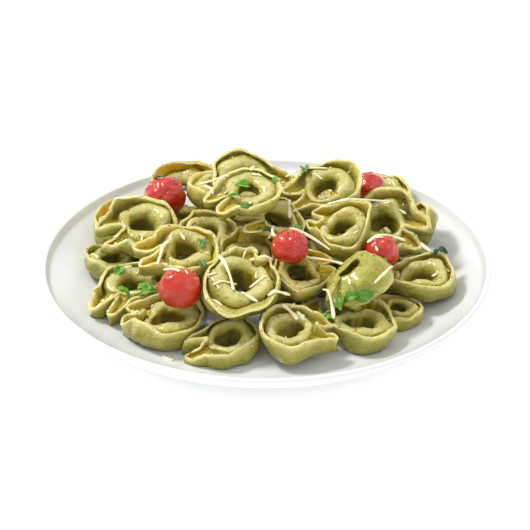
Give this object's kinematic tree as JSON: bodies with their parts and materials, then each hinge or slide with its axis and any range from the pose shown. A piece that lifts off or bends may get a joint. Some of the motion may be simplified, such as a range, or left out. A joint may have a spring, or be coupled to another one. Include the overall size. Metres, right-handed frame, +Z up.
{
  "type": "plate of tortellini",
  "caption": "Round coupe plate heaped with filled pasta rings, cherry tomatoes, shredded cheese and basil.",
  "frame": {"origin": "middle of the plate's foot, on the surface it stands on", "axes": "+Z up out of the plate, -Y towards the front of the plate as it is served, +X to its right"},
  "size_m": [0.254, 0.254, 0.0635],
  "materials": {
    "plate": "white gloss glaze",
    "pasta": "cooked spinach pasta, moist satin surface, mottled green to yellow tan",
    "tomato": "glossy thin tomato skin with a wet shine",
    "cheese": "dry shredded hard cheese",
    "basil": "fresh leaf, satin, darker where wilted",
    "chilli": "dried flakes, red to orange",
    "pepper": "cracked dark specks"
  },
  "bodies": {
    "root": {"plate": "plate", "tortellino_01": "pasta", "tortellino_02": "pasta", "tortellino_03": "pasta", "tortellino_04": "pasta", "tortellino_05": "pasta", "tortellino_06": "pasta", "tortellino_07": "pasta", "tortellino_08": "pasta", "tortellino_09": "pasta", "tortellino_10": "pasta", "tortellino_11": "pasta", "tortellino_12": "pasta", "tortellino_13": "pasta", "tortellino_14": "pasta", "tortellino_15": "pasta", "tortellino_16": "pasta", "tortellino_17": "pasta", "tortellino_18": "pasta", "tortellino_19": "pasta", "tortellino_20": "pasta", "tortellino_21": "pasta", "tortellino_22": "pasta", "tortellino_23": "pasta", "tortellino_24": "pasta", "tortellino_25": "pasta", "tortellino_26": "pasta", "tortellino_27": "pasta", "tortellino_28": "pasta", "tortellino_29": "pasta", "tortellino_30": "pasta", "tortellino_31": "pasta", "tortellino_32": "pasta", "tortellino_33": "pasta", "tortellino_34": "pasta", "tortellino_35": "pasta", "tortellino_36": "pasta", "tortellino_37": "pasta", "tortellino_38": "pasta", "tortellino_39": "pasta", "tortellino_40": "pasta", "tomato_1": "tomato", "tomato_2": "tomato", "tomato_3": "tomato", "tomato_4": "tomato", "tomato_5": "tomato"}
  },
  "joints": []
}
